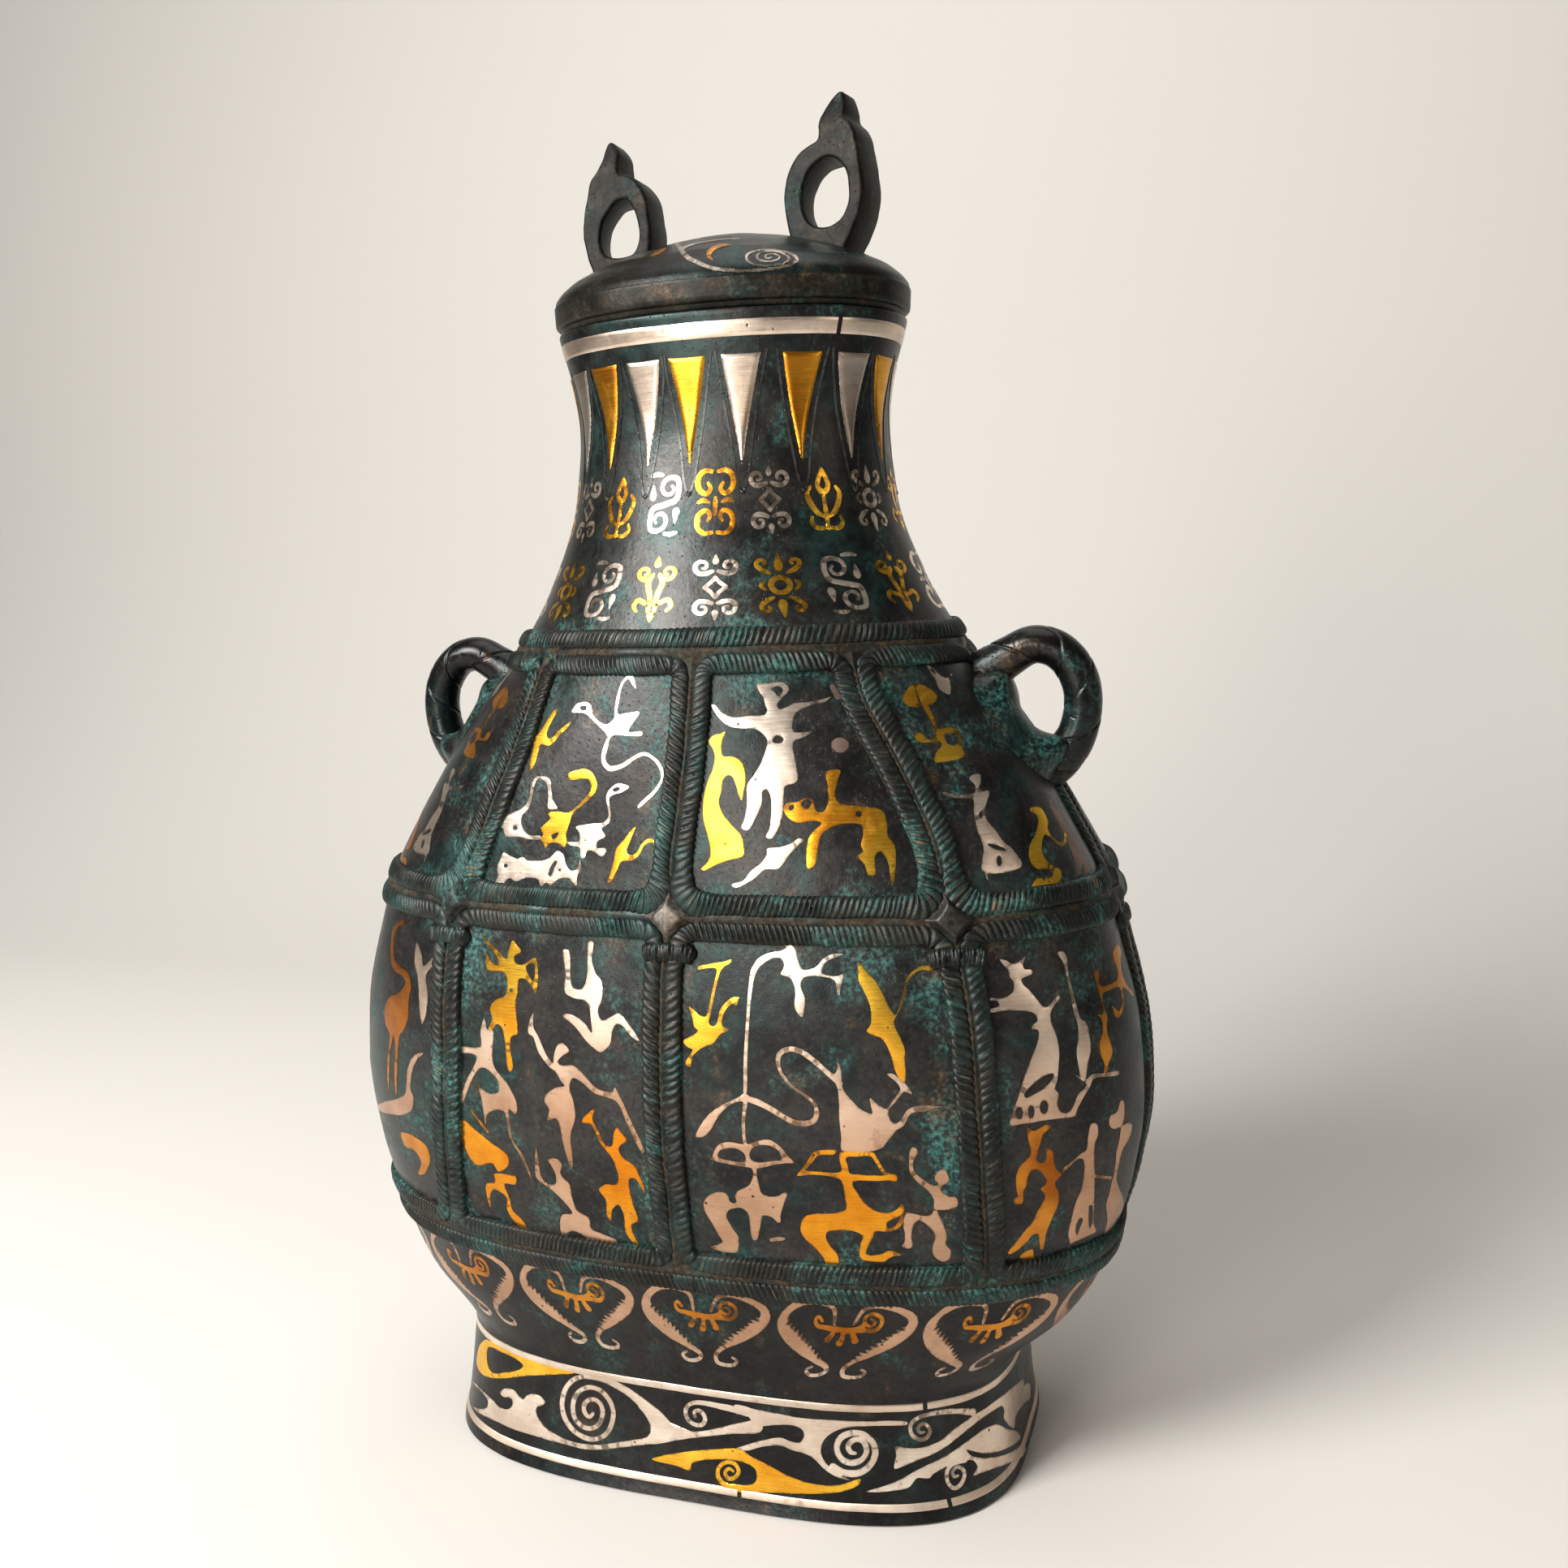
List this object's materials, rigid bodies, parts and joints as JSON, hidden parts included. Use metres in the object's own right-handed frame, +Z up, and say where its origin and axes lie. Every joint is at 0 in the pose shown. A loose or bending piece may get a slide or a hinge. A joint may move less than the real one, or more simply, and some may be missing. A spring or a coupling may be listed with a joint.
{
  "type": "storage jar",
  "caption": "Lidded bronze wine jar, flattened pear-shaped body on an oblong foot, loop handles, flame finials, corded straps and silver and gold inlay",
  "frame": {"origin": "on the plane that the foot ring stands on, under the middle of the belly", "axes": "+Z up, +X along the long side towards the right handle, -Y towards the front"},
  "size_m": [0.283, 0.1582, 0.45],
  "materials": {
    "bronze_body": "dark patinated cast bronze, green in the recesses, rubbed on the high points",
    "bronze_lid": "dark brown patinated cast bronze with fine pitting",
    "bronze_handle": "near black patinated cast bronze, glossy on the high points",
    "silver_inlay": "warm tarnished sheet silver, finely scratched",
    "gold_inlay": "rich hammered sheet gold with dark pits"
  },
  "bodies": {
    "vessel": {"vessel_body": "bronze_body", "mouth_band_silver_1": "silver_inlay", "mouth_band_silver_2": "silver_inlay", "foot_line_lower_silver_1": "silver_inlay", "foot_line_lower_silver_2": "silver_inlay", "foot_line_lower_silver_3": "silver_inlay", "foot_line_upper_silver_1": "silver_inlay", "foot_line_upper_silver_2": "silver_inlay", "neck_point_silver_01": "silver_inlay", "neck_point_gold_02": "gold_inlay", "neck_point_silver_03": "silver_inlay", "neck_point_gold_04": "gold_inlay", "neck_point_silver_05": "silver_inlay", "neck_point_gold_06": "gold_inlay", "neck_point_silver_07": "silver_inlay", "neck_point_gold_08": "gold_inlay", "neck_point_silver_09": "silver_inlay", "neck_point_gold_10": "gold_inlay", "neck_point_silver_11": "silver_inlay", "neck_point_gold_12": "gold_inlay", "neck_point_silver_13": "silver_inlay", "neck_point_gold_14": "gold_inlay", "neck_point_silver_15": "silver_inlay", "neck_point_gold_16": "gold_inlay", "neck_point_silver_17": "silver_inlay", "neck_point_gold_18": "gold_inlay", "loop_handle_right": "bronze_handle", "loop_handle_left": "bronze_handle"},
    "lid_body": {"lid": "bronze_lid", "lid_finial_left": "bronze_lid", "lid_finial_right": "bronze_lid"}
  },
  "joints": [
    {"name": "lid_lift", "type": "slide", "parent": "vessel", "child": "lid_body", "axis": [0, 0, 1], "range_m": [0, 0.08]}
  ]
}
